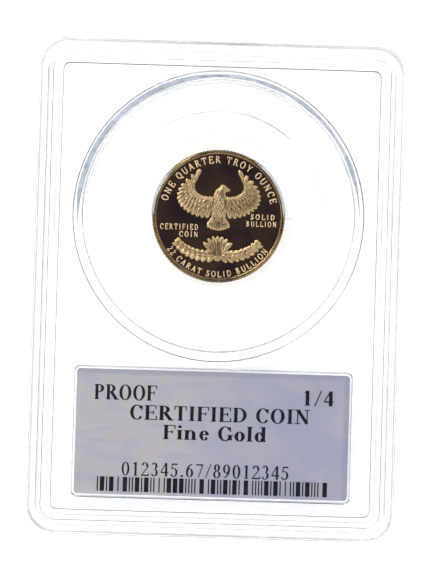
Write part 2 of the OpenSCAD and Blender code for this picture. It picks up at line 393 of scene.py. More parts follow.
class Relief:
    """Heights above the coin's field, in millimetres, and how frosted each point is."""

    def __init__(self, u, v):
        self.u, self.v = u, v
        self.height = np.zeros(u.shape)
        self.frost = np.zeros(u.shape)

    def add(self, height, cover):
        self.height = np.maximum(self.height, height)
        self.frost = np.maximum(self.frost, cover)

    def letters(self, field, top, slope):
        cover = smoothstep(0.5 - field / slope)
        self.add(top * cover, cover)

    def blade(self, start, end, bend, width, top, base=0.0, point=0.6, groove=0.0, edge=0.28):
        """A feather or leaf: a bent, tapering stroke with a rounded top, widest at the share point.
        A polished line as wide as the share edge parts it from what lies under it."""
        (x0, y0), (x2, y2) = start, end
        length = math.hypot(x2 - x0, y2 - y0)
        middle_x, middle_y = (x0 + x2) / 2, (y0 + y2) / 2
        curve = ((x0, middle_x - (y2 - y0) * bend, x2), (y0, middle_y + (x2 - x0) * bend, y2))
        near = np.hypot(self.u - middle_x, self.v - middle_y) < length * (0.6 + abs(bend)) + width
        u, v = self.u[near], self.v[near]
        share = np.full(u.shape, FAR)
        for i in range(BLADE_STEPS):
            a, b = i / BLADE_STEPS, (i + 1) / BLADE_STEPS
            ax, ay = (bent_at(a, *axis) for axis in curve)
            bx, by = (bent_at(b, *axis) for axis in curve)
            dx, dy = bx - ax, by - ay
            along = np.clip(((u - ax) * dx + (v - ay) * dy) / (dx * dx + dy * dy), 0, 1)
            t = a + along / BLADE_STEPS
            swell = np.where(t < point, 0.55 + 0.45 * np.sin(t / point * math.pi / 2),
                             rounded((t - point) / (1 - point)))
            away = np.hypot(u - ax - along * dx, v - ay - along * dy)
            share = np.minimum(share, away / (width / 2 * np.maximum(swell, 0.02)))
        height = base + (top - base) * rounded(share)
        if groove:
            height -= groove * np.clip(1 - share / 0.28, 0, 1)
        inside = frosted(share)
        parting = smoothstep((1 + edge - share) / 0.08) * (1 - inside)
        self.height[near] = np.where(share < 1, np.maximum(height, 0.75 * self.height[near]),
                                     self.height[near] * (1 - 0.55 * parting))
        self.frost[near] = np.maximum(self.frost[near] * (1 - 0.85 * parting), inside)

    def dome(self, x, y, rx, ry, top, base):
        share = np.hypot((self.u - x) / rx, (self.v - y) / ry)
        self.add(np.where(share < 1, base + (top - base) * rounded(share), 0), frosted(share))

    def pit(self, x, y, r, depth):
        self.height -= depth * smoothstep(1.4 - np.hypot(self.u - x, self.v - y) / r)


def curve_point(points, t):
    """A point on the Bezier curve through the control points given."""
    points = [np.array(p, float) for p in points]
    while len(points) > 1:
        points = [a + (b - a) * t for a, b in zip(points, points[1:])]
    return points[0]


# Control points of a wing's front edge and of the curve on which its feathers end
WING_EDGE = ((0.8, 2.9), (4.2, 2.5), (5.0, 4.5), (3.9, 6.0))
WING_ENDS = ((1.9, -0.3), (5.8, -0.3), (10.0, 3.4), (3.2, 7.5))
# Count, first and last share of the edge, reach, width, top and bend of each row of feathers
FEATHER_ROWS = ((15, 0.0, 1.0, 1.0, 0.62, 0.14, 0.10), (13, 0.03, 0.93, 0.60, 0.56, 0.17, 0.08),
                (13, 0.0, 0.90, 0.34, 0.50, 0.20, 0.06))
EDGE_SCALES = 17


def feather_row(relief, side, count, first, last, reach, width, top, bend):
    """Feathers from the wing's front edge towards the curve of their ends, drawn from the tip inwards."""
    for i in reversed(range(count)):
        t = first + (last - first) * i / (count - 1)
        start, end = curve_point(WING_EDGE, t), curve_point(WING_ENDS, t)
        end = start + (end - start) * reach
        relief.blade((side * start[0], start[1]), (side * end[0], end[1]), side * bend * (1 - 2.2 * t),
                     width * (1 - 0.2 * t), top, 0.05, 0.74, 0.03)


def wing(relief, side):
    """A raised wing: long feathers, two rows of coverts and scales along the front edge."""
    for row in FEATHER_ROWS:
        feather_row(relief, side, *row)
    for i in range(EDGE_SCALES):
        x, y = curve_point(WING_EDGE, 0.02 + 0.9 * i / (EDGE_SCALES - 1))
        relief.blade((side * (x - 0.12), y + 0.1), (side * (x + 0.3), y - 0.2), 0, 0.36, 0.22, 0.12, 0.5)


def tail(relief):
    for i in (0, 8, 1, 7, 2, 6, 3, 5, 4):
        lean = (i - 4) / 4
        relief.blade((0.1 * lean, 0.6), (1.7 * lean, -2.3 + 0.5 * lean * lean), 0.05 * lean,
                     0.52, 0.15, 0.06, 0.75, 0.04)


def leg(relief, side):
    relief.blade((0.45 * side, 0.3), (1.05 * side, -0.95), 0.05 * side, 0.5, 0.18, 0.09, 0.4)
    for toe in (-1, 1, 0):
        relief.blade((1.05 * side, -0.9), (1.05 * side + 0.4 * toe, -1.6 + 0.15 * abs(toe)), 0.1,
                     0.2, 0.15, 0.05, 0.3)


def breast_feathers(relief):
    for row in range(8):
        for k in range(5):
            x = (k - 2) * 0.42 + 0.21 * (row % 2)
            y = 0.1 + 0.46 * row
            if abs(x) < 0.95 - 0.06 * row:
                relief.blade((x, y + 0.25), (x, y - 0.28), 0, 0.40, 0.26, 0.20, 0.7)


def bird(relief):
    """A generic bird rising with both wings raised: wings, tail, legs, body, head, beak and eye."""
    for side in (-1, 1):
        wing(relief, side)
    tail(relief)
    for side in (-1, 1):
        leg(relief, side)
    relief.blade((0.0, -0.5), (0.15, 4.3), 0.0, 2.3, 0.24, 0.08, 0.45, 0.0, 0.1)
    relief.blade((-0.1, 3.3), (0.75, 4.95), -0.12, 1.15, 0.25, 0.10, 0.5, 0.0, 0.1)
    relief.blade((0.75, 4.85), (1.75, 4.30), -0.22, 0.42, 0.22, 0.10, 0.3)
    relief.pit(0.72, 4.72, 0.09, 0.12)
    breast_feathers(relief)


STALK_PIECES = 12
BERRY_R = 0.17


def branch(relief, side, stalk, leaf_pairs, leaf_length, leaf_width):
    """A laurel branch: a bent stalk with pairs of leaves and berries."""
    for i in range(STALK_PIECES):
        a, b = curve_point(stalk, i / STALK_PIECES), curve_point(stalk, (i + 1.1) / STALK_PIECES)
        relief.blade((side * a[0], a[1]), (side * b[0], b[1]), 0, 0.24, 0.12, 0.05, 0.5)
    for i in range(leaf_pairs):
        t = 0.06 + 0.9 * i / (leaf_pairs - 1)
        x, y = curve_point(stalk, t)
        ahead = curve_point(stalk, min(t + 0.03, 1)) - curve_point(stalk, t - 0.03)
        course = math.degrees(math.atan2(ahead[1], ahead[0]))
        reach = leaf_length * (1.0 - 0.28 * t)
        for lean in (-44, 40, 4):
            way = math.radians(course + lean)
            grow = reach * (0.8 if lean == 4 else 1.0)
            end = (side * (x + grow * math.cos(way)), y + grow * math.sin(way))
            relief.blade((side * x, y), end, side * 0.1 * (1 if lean > 0 else -1), leaf_width,
                         0.15 + 0.012 * (i % 2) + (0.02 if lean == 4 else 0), 0.05, 0.45, 0.035)
        if i % 2:
            way = math.radians(course + 90)
            off_x, off_y = 0.42 * math.cos(way), 0.42 * math.sin(way)
            relief.dome(side * (x + off_x), y + off_y, BERRY_R, BERRY_R, 0.19, 0.1)


LEGEND_PEN = Pen(0.150, 0.105, 0.055, 0.34)
SMALL_PEN = Pen(0.155, 0.120, 0.06, 0.28)
MARK_PEN = Pen(0.2, 0.1, 0.18, 0.05)
BACK_PEN = Pen(0.2, 0.14, 0.12, 0.16)
# Text, radius, first and last angle, height, and whether the letters' tops point inward
LEGENDS = (("ONE QUARTER TROY OUNCE", 8.78, 165, 15, 1.15, False),
           ("22 CARAT SOLID BULLION", 10.08, 214, 326, 1.0, True))
# Text, left and right ends, base line and height of the four short lines beside the bird
SMALL_TEXTS = (("CERTIFIED", -9.6, -3.3, -2.4, 0.95), ("COIN", -6.4, -3.3, -3.55, 0.9),
               ("SOLID", 5.3, 9.3, -0.4, 0.88), ("BULLION", 4.6, 9.6, -1.55, 0.88))
LETTER_REACH = 10.3
LETTER_STEP = 0.06
LETTER_RISE = 0.07
LETTER_SINK = 0.01


def front_lettering():
    """The coin's lettering as raised solids that start just inside the field."""
    across = np.arange(-LETTER_REACH, LETTER_REACH, LETTER_STEP)
    u, v = np.meshgrid(across, across, indexing="ij")
    arcs = [arc_of_text(u, v, text, LEGEND_PEN, *row) for text, *row in LEGENDS]
    rows = [line_of_text(u, v, text, SMALL_PEN, *row) for text, *row in SMALL_TEXTS]
    field = np.minimum.reduce(arcs + rows)
    ground = COIN_HALF - FIELD_DROP
    return outline_solid(field, across, across, ground - LETTER_SINK, ground + LETTER_RISE)


def front_design(relief):
    bird(relief)
    for side in (-1, 1):
        branch(relief, side, [(0.3, -6.5), (2.8, -6.9), (5.0, -6.2), (6.6, -4.6)], 8, 1.3, 0.50)
    for i in (0, 6, 1, 5, 2, 4, 3):
        lean = (i - 3) / 3
        relief.blade((0, -6.9), (2.3 * lean, -3.4 - 1.1 * lean * lean), 0.12 * lean, 0.7,
                     0.17, 0.06, 0.55, 0.04)
    relief.dome(0, -6.95, 0.55, 0.38, 0.2, 0.1)


def back_design(relief):
    for side in (-1, 1):
        branch(relief, side, [(0.3, -8.2), (5.0, -8.2), (8.6, -4.0), (7.4, 4.6)], 13, 1.7, 0.66)
    mark = line_of_text(relief.u, relief.v, "1/4", MARK_PEN, -4.2, 4.2, -2.6, 5.2)
    relief.letters(mark, 0.16, 0.2)
    legend = arc_of_text(relief.u, relief.v, "SOLID BULLION", BACK_PEN, 7.9, 140, 40, 1.5)
    relief.letters(legend, 0.13, 0.2)


# ---- coin ----

FIELD_DROP = 0.22
RIM_FROST = 0.22
EDGE_FROST = 0.7
LETTER_FROST = 1.8
# The letters' painted light, past that of the sharpest ridge: a painted highlight
LETTER_PAINTED_HIGHLIGHT = 1.6
REED_COUNT = 119
REED_DEPTH = 0.085
FRONT_CELLS = 2 * REED_COUNT
BACK_CELLS = REED_COUNT
REED_PROFILE = (0.0, 0.5, 1.0, 1.0, 1.0, 0.5, 0.0, 0.0)
# Rings of the grid, counted from the edge, and the radius of each
FRONT_RINGS = ((0, 10.80), (1, 10.76), (2, 10.68), (3, 10.56), (4, 10.50), (5, 10.44), (6, 10.38),
               (7, 10.32), (34, 8.60))
BACK_RINGS = ((0, 10.80), (1, 10.68), (2, 10.52), (3, 10.42), (4, 10.32))
RIM_INNER = 10.35
RIM_RISE = 0.16


def disc_points(cells, outer_rings):
    """A square grid bent onto a disc."""
    side = np.linspace(-1, 1, cells + 1)
    a, b = np.meshgrid(side, side, indexing="ij")
    ring = np.maximum(np.abs(a), np.abs(b))
    wide = np.abs(a) > np.abs(b)
    with np.errstate(divide="ignore", invalid="ignore"):
        angle = np.where(wide, math.pi / 4 * b / np.where(a == 0, 1, a),
                         math.pi / 2 - math.pi / 4 * a / np.where(b == 0, 1, b))
    angle = angle + np.where(np.where(wide, a, b) < 0, math.pi, 0)
    marks = [0] + [1 - 2 * index / cells for index, _ in reversed(outer_rings)]
    radius = np.interp(ring, marks, [0] + [r for _, r in reversed(outer_rings)])
    radius = np.where(ring == 0, 0, radius)
    return radius * np.cos(angle), radius * np.sin(angle), radius


def rim_height(radius):
    """The rim's profile above the field."""
    rise = smoothstep((radius - RIM_INNER) / RIM_RISE)
    fall = 0.05 * np.clip((radius - 10.62) / 0.18, 0, 1) ** 2
    return FIELD_DROP * rise - fall


def grid_faces(cells, flip, first):
    row = cells + 1
    i, j = np.meshgrid(np.arange(cells), np.arange(cells), indexing="ij")
    p = (i * row + j + first).ravel()
    quads = np.stack([p, p + row, p + row + 1, p + 1], 1)
    return quads[:, ::-1] if flip else quads


def rim_loop(cells, first):
    """The grid's outline, anticlockwise from the corner at -45 degrees."""
    row = cells + 1
    steps = np.arange(cells)
    return np.concatenate([cells * row + steps, (cells - steps) * row + cells,
                           cells - steps, steps * row]) + first


def blurred(values, reach):
    for axis in (0, 1):
        values = sum(np.roll(values, k, axis) for k in range(-reach, reach + 1)) / (2 * reach + 1)
    return values


def painted_relief_light(relief, cells):
    """Painted shade in hollows, painted highlight on ridges: 0 in the deepest hollow, 1 on the sharpest."""
    height = relief.height.reshape(cells + 1, cells + 1)
    sharp = (height - blurred(height, 2)) / 0.05 + (height - blurred(height, 5)) / 0.11
    return np.clip(0.5 + 0.5 * sharp, 0, 1).ravel()


class CoinMesh:
    """The coin's points and faces, with the frost, painted light and rim share of every point."""

    def __init__(self):
        self.points, self.faces = [], []
        self.finish = {"frost": [], "shade": [], "rim": []}
        self.count = 0

    def add(self, points, **finish):
        """Takes up points with their finish, and returns their numbers."""
        for name, values in finish.items():
            self.finish[name].append(np.broadcast_to(values, len(points)))
        self.points.append(points)
        self.count += len(points)
        return np.arange(self.count - len(points), self.count)


def struck_face(mesh, cells, rings, side, design):
    """One face of the coin. The front has side 1, and the back has side -1 and reads from behind."""
    x, y, radius = (values.ravel() for values in disc_points(cells, rings))
    relief = Relief(side * x, y)
    design(relief)
    z = side * (COIN_HALF - FIELD_DROP + relief.height + rim_height(radius))
    rim = smoothstep((radius - RIM_INNER) / 0.1)
    # The relief's painted light: painted shade in its hollows and painted highlight on its ridges
    numbers = mesh.add(np.stack([x, y, z], 1), frost=np.maximum(relief.frost, rim * RIM_FROST),
                       shade=painted_relief_light(relief, cells), rim=rim)
    mesh.faces += grid_faces(cells, side < 0, numbers[0]).tolist()
    return rim_loop(cells, numbers[0])


def edge_levels():
    """Radius, height and share of the reeds' depth of each loop round the edge, from the front down."""
    root = COIN_R - REED_DEPTH
    upper = ((root - 0.045, COIN_HALF - 0.10, 0.0), (root - 0.012, COIN_HALF - 0.16, 0.3),
             (root, COIN_HALF - 0.22, 1.0))
    return upper + tuple((r, -z, amount) for r, z, amount in upper[::-1])


def reeded_edge(mesh, upper):
    """The edge from the front's outline down to a last loop, which it returns."""
    x, y = mesh.points[0][upper, :2].T
    angle = np.arctan2(y, x)
    reed = np.tile(REED_PROFILE, REED_COUNT)
    for radius, z, amount in edge_levels():
        r = radius + REED_DEPTH * amount * reed
        points = at_height(np.stack([r * np.cos(angle), r * np.sin(angle)], 1), z)
        # Painted shade in the reeds' grooves and painted highlight on their ridges
        lower = mesh.add(points, frost=EDGE_FROST, shade=0.25 + 0.5 * amount * reed, rim=1.0)
        mesh.faces += np.stack([upper, lower, np.roll(lower, -1), np.roll(upper, -1)], 1).tolist()
        upper = lower
    return upper


def join_back(mesh, fine, coarse):
    """Joins the edge to the back's outline, which has half as many points."""
    for k, here in enumerate(coarse):
        there = coarse[(k + 1) % len(coarse)]
        a, b, c = fine[2 * k], fine[2 * k + 1], fine[(2 * k + 2) % len(fine)]
        mesh.faces += [[a, here, b], [b, here, there], [b, there, c]]


def struck_coin(material):
    """The coin as one closed mesh with a reeded edge, and its raised letters."""
    mesh = CoinMesh()
    front = struck_face(mesh, FRONT_CELLS, FRONT_RINGS, 1, front_design)
    back = struck_face(mesh, BACK_CELLS, BACK_RINGS, -1, back_design)
    join_back(mesh, reeded_edge(mesh, front), back)
    smooth_faces = len(mesh.faces)
    letters, letter_faces = front_lettering()
    # The letters take a painted highlight
    first = mesh.add(letters, frost=LETTER_FROST, shade=LETTER_PAINTED_HIGHLIGHT, rim=0.0)[0]
    mesh.faces += [[p + first for p in face] for face in letter_faces]
    piece = new_piece("struck_coin", np.concatenate(mesh.points) + np.array(coin_at), mesh.faces, material)
    smooth = [i < smooth_faces for i in range(len(mesh.faces))]
    piece.data.polygons.foreach_set("use_smooth", smooth)
    for name, values in mesh.finish.items():
        layer = piece.data.attributes.new(name, "FLOAT", "POINT")
        layer.data.foreach_set("value", np.concatenate(values).astype(np.float32))
    return piece


# ---- films of painted shade, and the seam weld ----

# All the films lie in the hairline gaps between the shells
FILM_Z = (3.46, 3.49)
SHADOW_BAND_RADIUS = 23.27
INNER_SHADE_LINE_RADIUS = 22.57
ROUND_FILM_STEPS = 900
SLAB_CORNER_R = 4.7
FLASH_INSETS = (0.04, 0.50)
FILM_CORNER_STEPS = 24
POCKET_MARGIN = 0.55
POCKET_CORNER_R = 1.2
POCKET_INSETS = (0.02, 0.29)
POCKET_RISE = (0.04, 0.06)


def shadow_band_width(theta):
    """Width of the band of painted shadow at an angle: broad at the upper left and uneven at the upper
    right.
    """
    left = smoothstep(2.3 - degrees_apart(theta, 137) / 22)
    right = smoothstep(2.1 - degrees_apart(theta, 52) / 26)
    ripple = 0.5 + 0.5 * np.sin(np.radians(theta) * 17 + 2.0 * np.sin(np.radians(theta) * 5))
    return 0.05 + 0.86 * left + (0.50 + 0.22 * ripple) * right


def inner_bead_width(theta):
    """Width of the narrow line of painted shade along the wall's inner edge, over its upper half."""
    return 0.03 + 0.27 * smoothstep(5 - degrees_apart(theta, 88) / 20)


def round_film(name, radius, width, material):
    """A thin tinted film between the two halves of the round wall, as wide as width says."""
    theta = np.arange(ROUND_FILM_STEPS) * 360 / ROUND_FILM_STEPS
    around = np.column_stack([np.cos(np.radians(theta)), np.sin(np.radians(theta))])
    half = (width(theta) / 2)[:, None]
    centre = (0.0, coin_at.y)
    inner, outer = (around * (radius + side * half) + centre for side in (-1, 1))
    return closed_film(name, inner, outer, FILM_Z, material)


def frame_film(name, centre, width, height, radius, insets, levels, material):
    """A film along the inside of a rectangle with round corners."""
    sizes = [(width - 2 * inset, height - 2 * inset, radius - inset) for inset in insets]
    outer, inner = (rounded_outline(*size, FILM_CORNER_STEPS) + np.array(centre) for size in sizes)
    return closed_film(name, inner, outer, levels, material)


def seam_flash_and_shade(material):
    """The narrow seam film round the outer edge: melted plastic, whose grey is partly painted shade."""
    return frame_film("seam_flash_and_shade", (0, 0), span("front_shell", 0), span("front_shell", 1), SLAB_CORNER_R,
                      FLASH_INSETS, FILM_Z, material)


def painted_pocket_shade(material):
    """A grey line of painted shade round the insert, along the pocket's edge under the land above it."""
    width, height = CARD_SIZE.x + 2 * POCKET_MARGIN, CARD_SIZE.y + 2 * POCKET_MARGIN
    return frame_film("painted_pocket_shade", card_at.xy, width, height, POCKET_CORNER_R, POCKET_INSETS,
                      [CARD_TOP + rise for rise in POCKET_RISE], material)


# ---- printed insert ----

CARD_CORNER_R = 0.6
CARD_EDGE = 0.03


def insert_card(material):
    """The card, a thin plate with round corners and softened edges."""
    half = CARD_SIZE.z / 2
    levels = ((-CARD_EDGE, -half), (0, -half + CARD_EDGE), (0, half - CARD_EDGE), (-CARD_EDGE, half))
    outlines = []
    for grow, z in levels:
        width, height = CARD_SIZE.x + 2 * grow, CARD_SIZE.y + 2 * grow
        outlines.append((rounded_outline(width, height, CARD_CORNER_R + grow), z))
    points, faces = loft(outlines)
    return new_piece("insert_card", points + np.array(card_at), faces, material, smooth=False)


INK_LEVELS = (CARD_TOP - 0.004, CARD_TOP + 0.012)
BOLD = Pen(0.185, 0.062, 0.150, 0.05)
BOOK = Pen(0.130, 0.060, 0.110, 0.04)
# Name, text, weight, left and right ends, base line and capital height
PRINT_LINES = (
    ("first_line", "PROOF", BOLD, -19.6, -9.2, -18.7, 2.5),
    ("value_mark", "1/4", BOLD, 14.6, 20.0, -18.75, 2.45),
    ("grade_line", "CERTIFIED COIN", BOLD, -13.7, 16.1, -21.85, 2.4),
    ("name_line", "Fine Gold", BOLD, -8.1, 9.0, -24.95, 2.35),
    ("number_line", "012345.67/89012345", BOOK, -14.8, 13.0, -31.1, 2.25),
)
INK_STEP = 0.055


def printed_line(name, text, pen, left, right, base, height, material):
    xs = np.arange(left - 0.4, right + 0.5, INK_STEP)
    ys = np.arange(base - 0.4 * height, base + 1.25 * height, INK_STEP)
    u, v = np.meshgrid(xs, ys, indexing="ij")
    field = line_of_text(u, v, text, pen, left, right, base, height)
    points, faces = outline_solid(field, xs, ys, *INK_LEVELS)
    return new_piece("print_" + name, points, faces, material, smooth=False)


BARS_LEFT, BARS_RIGHT = -18.7, 19.2
BARS_LOW, BARS_HIGH = -33.75, -31.35
NARROW_BAR, WIDE_BAR = 0.21, 0.72
NARROW_SPACE, WIDE_SPACE = 0.27, 0.62


def bar_spans():
    """Left and right edges of a row of wide and narrow bars that encodes nothing."""
    spans, at, k = [], BARS_LEFT, 0
    while True:
        wide = (k * k + 3 * k) % 7 in (1, 4) or k % 11 == 5
        width = WIDE_BAR if wide else NARROW_BAR
        if at + width > BARS_RIGHT:
            break
        spans.append((at, at + width))
        at += width + (WIDE_SPACE if (5 * k) % 9 in (2, 6) else NARROW_SPACE)
        k += 1
    stretch = (BARS_RIGHT - BARS_LEFT) / (spans[-1][1] - BARS_LEFT)
    return [[BARS_LEFT + (x - BARS_LEFT) * stretch for x in pair] for pair in spans]


def bar_marks(material):
    points, faces = [], []
    for x0, x1 in bar_spans():
        corners = ((x0, BARS_LOW), (x1, BARS_LOW), (x1, BARS_HIGH), (x0, BARS_HIGH))
        block, sides = loft([(corners, z) for z in INK_LEVELS])
        faces += [[p + len(points) for p in face] for face in sides]
        points += block.tolist()
    return new_piece("print_bars", points, faces, material, smooth=False)


# ---- materials ----
# What the node trees measure is in metres and radians, as Blender's own values are.

# Middle angle and half width of each milky stretch of the ring's lips, and how fast it fades at its ends
LIPS = ((28, 25), (160, 19))
LIP_END_FADE = 5
# How far the milk goes inside and outside the coin's edge, and where outside it starts to fade
LIP_INSIDE, LIP_OUTSIDE, LIP_FADE_FROM = 0.38, 0.16, 0.02
# Radii between which the ring's edge bears a grey arc of painted shade
SHADE_ARC_RADII = (21.95, 22.5)
SHADE_ARC_FADE = 0.12
# Middle angle, half width and fade
SHADE_ARC_SECTOR = (88, 90, 12)


class Nodes:
    """A short way to write a node tree."""

    def __init__(self, tree):
        self.tree = tree
        tree.nodes.clear()

    def feed(self, socket, value):
        """Links a socket to an input, or sets its value. A colour is given as red, green and blue."""
        if isinstance(value, bpy.types.NodeSocket):
            self.tree.links.new(value, socket)
        elif socket.type == "RGBA":
            socket.default_value = (*value, 1)
        else:
            socket.default_value = value

    def make(self, kind, settings=None, **inputs):
        node = self.tree.nodes.new("ShaderNode" + kind)
        for name, value in (settings or {}).items():
            setattr(node, name, value)
        for name, value in inputs.items():
            self.feed(node.inputs[name.replace("_", " ")], value)
        return node

    def operate(self, kind, operation, *values):
        """A node of arithmetic, whose inputs take the values in their order."""
        node = self.make(kind, {"operation": operation})
        for socket, value in zip(node.inputs, values):
            self.feed(socket, value)
        return node

    def math(self, operation, *values):
        return self.operate("Math", operation, *values).outputs[0]

    def times(self, a, b):
        return self.math("MULTIPLY", a, b)

    def plus(self, a, b):
        return self.math("ADD", a, b)

    def vector(self, operation, *values):
        return self.operate("VectorMath", operation, *values).outputs

    def place(self, scale=(1, 1, 1), turn=0):
        """Where a point lies on the object, in metres, turned about Z by so many degrees and scaled."""
        coordinates = self.make("TexCoord").outputs["Object"]
        turned = (0, 0, math.radians(turn))
        return self.make("Mapping", Vector=coordinates, Rotation=turned, Scale=scale).outputs[0]

    def noise(self, scale, detail=3.0, rough=0.5, vector=None):
        """Noise from 0 to 1, at a place on the object unless a vector says where."""
        if vector is None:
            vector = self.place()
        node = self.make("TexNoise", Vector=vector, Scale=scale, Detail=detail, Roughness=rough)
        return node.outputs[0]

    def ramp(self, value, low, high, to_low=0.0, to_high=1.0):
        ends = {"From_Min": low, "From_Max": high, "To_Min": to_low, "To_Max": to_high}
        return self.make("MapRange", Value=value, **ends).outputs[0]

    def mix(self, factor, a, b):
        node = self.make("Mix", {"data_type": "RGBA"})
        for index, value in ((0, factor), (6, a), (7, b)):
            self.feed(node.inputs[index], value)
        return node.outputs[2]

    def bump(self, height, distance, strength=1.0):
        return self.make("Bump", Height=height, Distance=distance, Strength=strength).outputs[0]

    def mesh_value(self, name):
        return self.make("Attribute", {"attribute_name": name}).outputs["Fac"]


class Finish(Nodes):
    """The node tree of a new material, which ends in one Principled shader."""

    def __init__(self, name):
        self.material = bpy.data.materials.new(name)
        self.material.use_nodes = True
        super().__init__(self.material.node_tree)

    def done(self, **inputs):
        shader = self.make("BsdfPrincipled", **inputs)
        self.make("OutputMaterial", Surface=shader.outputs[0])
        return self.material


def hairlines(n, turn, scale):
    """Thin scratches that run one way, as a value from 0 to 1."""
    stretched = n.place((scale, scale * 0.018, scale), turn)
    return n.ramp(n.noise(1.0, 2.0, 0.4, stretched), 0.70, 0.78)


def shell_plastic():
    """Polished clear plastic with hairline scratches and a slight flow wave."""
    n = Finish("clear_polystyrene")
    scratches = n.math("MAXIMUM", hairlines(n, 25, 2600.0), hairlines(n, -62, 2100.0))
    flow = n.noise(55.0, 2.0)
    height = n.plus(n.times(scratches, -0.12), n.times(flow, 0.25))
    return n.done(Base_Color=(0.99, 0.995, 0.995), Roughness=0.0, IOR=1.55, Transmission_Weight=1.0,
                  Normal=n.bump(height, 0.00001))


def place_round_coin(n):
    """Distance from the coin's axis, in metres, and the angle round it, in radians."""
    from_coin = n.vector("SUBTRACT", n.place(), coin_at * MM)[0]
    apart = n.make("SeparateXYZ", Vector=from_coin)
    across, up = apart.outputs["X"], apart.outputs["Y"]
    flat = n.make("CombineXYZ", X=across, Y=up)
    return n.vector("LENGTH", flat.outputs[0])["Value"], n.math("ARCTAN2", up, across)


def sector(n, angle, middle_angle, half, fade):
    """1 inside a sector of directions, which is given in degrees, and 0 outside it."""
    away = n.math("PINGPONG", n.math("SUBTRACT", angle, math.radians(middle_angle)), math.pi)
    return n.ramp(away, math.radians(half + fade), math.radians(half - fade))


def lip_haze(n, radius, angle):
    """Where the ring's lips over the coin's rim are milky, as a value from 0 to 1."""
    near = n.ramp(radius, (COIN_R + LIP_OUTSIDE) * MM, (COIN_R + LIP_FADE_FROM) * MM)
    beyond = n.math("GREATER_THAN", radius, (COIN_R - LIP_INSIDE) * MM)
    turned = n.math("MAXIMUM", *(sector(n, angle, *lip, LIP_END_FADE) for lip in LIPS))
    return n.times(n.times(near, beyond), turned)


def painted_shade_arc(n, radius, angle):
    """A faint grey arc of painted shade at the ring's outer edge, as a value from 0 to 1."""
    inner, outer = SHADE_ARC_RADII
    inside = n.ramp(radius, outer * MM, (outer - SHADE_ARC_FADE) * MM)
    outside = n.ramp(radius, inner * MM, (inner + SHADE_ARC_FADE) * MM)
    return n.times(n.times(outside, inside), sector(n, angle, *SHADE_ARC_SECTOR))


def ring_plastic():
    """Soft clear plastic, milky over stretches of its lips on the coin, with an arc of painted shade."""
    n = Finish("soft_clear_plastic")
    radius, angle = place_round_coin(n)
    milk = n.ramp(n.noise(900.0), 0.3, 0.7, 0.45, 0.9)
    cloud = n.times(lip_haze(n, radius, angle), milk)
    # A grey arc of painted shade on the ring's top, over its upper half
    with_shade_arc = n.mix(painted_shade_arc(n, radius, angle), (0.985, 0.99, 0.99), (0.69, 0.70, 0.72))
    return n.done(Base_Color=n.mix(cloud, with_shade_arc, (0.68, 0.68, 0.68)), Roughness=0.0, IOR=1.45,
                  Transmission_Weight=n.math("SUBTRACT", 1.0, cloud),
                  Normal=n.bump(n.noise(55.0, 2.0), 0.000012))


def painted_shade_film(name, dull, clear):
    """A film between two tints, in clouds, that lets most of the light through; its grey is painted shade.
    """
    n = Finish(name)
    clouds = n.noise(420.0, 5.0, 0.7)
    return n.done(Base_Color=n.mix(n.ramp(clouds, 0.36, 0.64), dull, clear), Roughness=0.25, IOR=1.5,
                  Transmission_Weight=1.0, Normal=n.bump(n.noise(2500.0), 0.00001))


def struck_gold():
    """Mirror fields and frosted relief, told apart by the mesh's frost attribute."""
    n = Finish("gold_proof")
    frost = n.mesh_value("frost")
    shade = n.mesh_value("shade")
    grain = n.noise(9000.0, 2.0, 0.6)
    patches = n.noise(420.0, 4.0, 0.6)
    # Painted shade: the dark colour in the hollows. Painted highlight: lit, on the sharpest ridges and the
    # letters.
    low = n.mix(n.ramp(shade, 0.1, 0.5), (0.030, 0.018, 0.009), (0.145, 0.094, 0.045))
    matt = n.mix(n.ramp(shade, 0.5, 0.95), low, (0.73, 0.535, 0.305))
    lit = n.mix(n.ramp(shade, 1.0, 1.6), matt, (0.98, 0.78, 0.50))
    toned = n.mix(n.ramp(patches, 0.4, 0.75, 0.0, 0.35), lit, (0.15, 0.085, 0.035))
    bright = n.mix(frost, (0.66, 0.47, 0.23), toned)
    # Darker in random patches over the rim
    rim_patches = n.ramp(n.noise(190.0, 3.0, 0.6), 0.42, 0.60, 0.36, 1.0)
    colour = n.mix(n.times(n.mesh_value("rim"), rim_patches), bright, (0.115, 0.088, 0.042))
    rough = n.plus(n.times(frost, 0.34), n.ramp(patches, 0.3, 0.7, 0.012, 0.05))
    depth = n.times(grain, n.plus(n.times(frost, 0.97), 0.01))
    return n.done(Base_Color=colour, Metallic=1.0, Roughness=rough, Normal=n.bump(depth, 0.000006))


